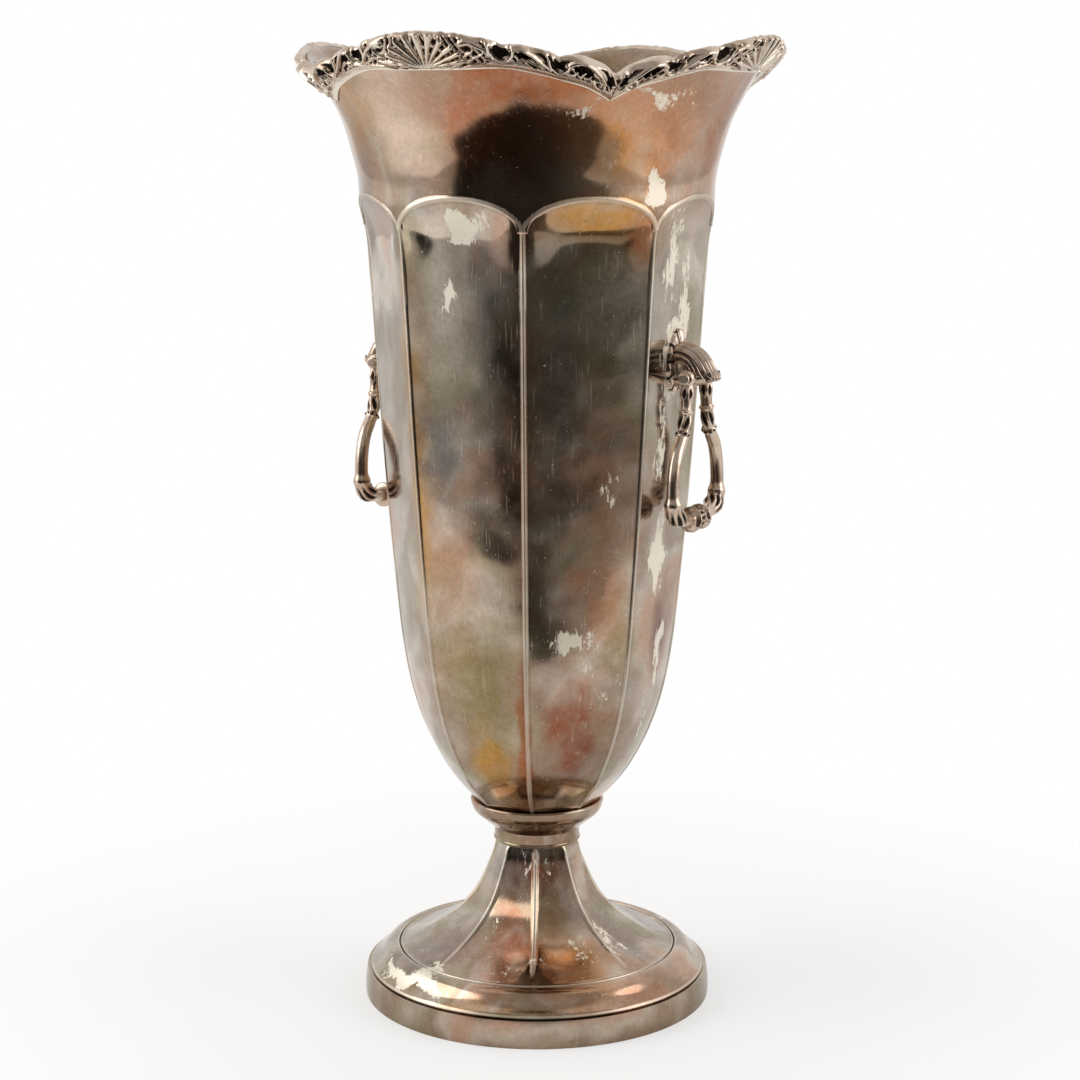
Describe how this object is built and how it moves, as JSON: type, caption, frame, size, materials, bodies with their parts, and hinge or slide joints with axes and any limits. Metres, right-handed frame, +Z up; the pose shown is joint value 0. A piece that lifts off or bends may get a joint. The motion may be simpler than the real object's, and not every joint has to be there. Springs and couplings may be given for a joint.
{
  "type": "trumpet vase",
  "caption": "Tall footed trumpet vase in old silver plate, with flat arched panels, a cast shell border on its flared scalloped mouth, and swinging drop handles.",
  "frame": {"origin": "centre of the foot's underside, on the surface that it stands on", "axes": "+Z up along the vase's axis; the drop handles are on -X and +X; shells of the border are at -X, +X, -Y and +Y"},
  "size_m": [0.2078, 0.2078, 0.4],
  "materials": {
    "tarnished_plate": "old silver plate on brass sheet, polished, with iridescent brown, gold and blue-grey tarnish",
    "cast_border": "cast metal, silver plated, bright on the high points with black-brown oxide in the recesses",
    "cast_handle": "cast metal, silver plated, worn bright on the high points, dark in the recesses",
    "pin_metal": "drawn rod, silver plated, dull",
    "fastener_steel": "plain steel, lightly oxidised"
  },
  "bodies": {
    "vase": {"body_shell": "tarnished_plate", "body_stud": "fastener_steel", "foot_band": "tarnished_plate", "foot_shell": "tarnished_plate", "handle_boss_left": "cast_handle", "handle_boss_right": "cast_handle", "handle_pin_left": "pin_metal", "handle_pin_right": "pin_metal", "neck_collar": "tarnished_plate", "neck_ring": "tarnished_plate", "rim_border_back": "cast_border", "rim_border_front": "cast_border", "rim_border_left": "cast_border", "rim_border_right": "cast_border", "stud_nut": "fastener_steel", "stud_washer": "fastener_steel"},
    "drop_handle_left": {"handle_loop_left": "cast_handle"},
    "drop_handle_right": {"handle_loop_right": "cast_handle"}
  },
  "joints": [
    {"name": "handle_swing_right", "type": "hinge", "parent": "vase", "child": "drop_handle_right", "pos_m": [0.0715, 0, 0.267], "axis": [0, -1, 0], "range_deg": [-6, 95]},
    {"name": "handle_swing_left", "type": "hinge", "parent": "vase", "child": "drop_handle_left", "pos_m": [-0.0715, 0, 0.267], "axis": [0, 1, 0], "range_deg": [-6, 95]}
  ]
}
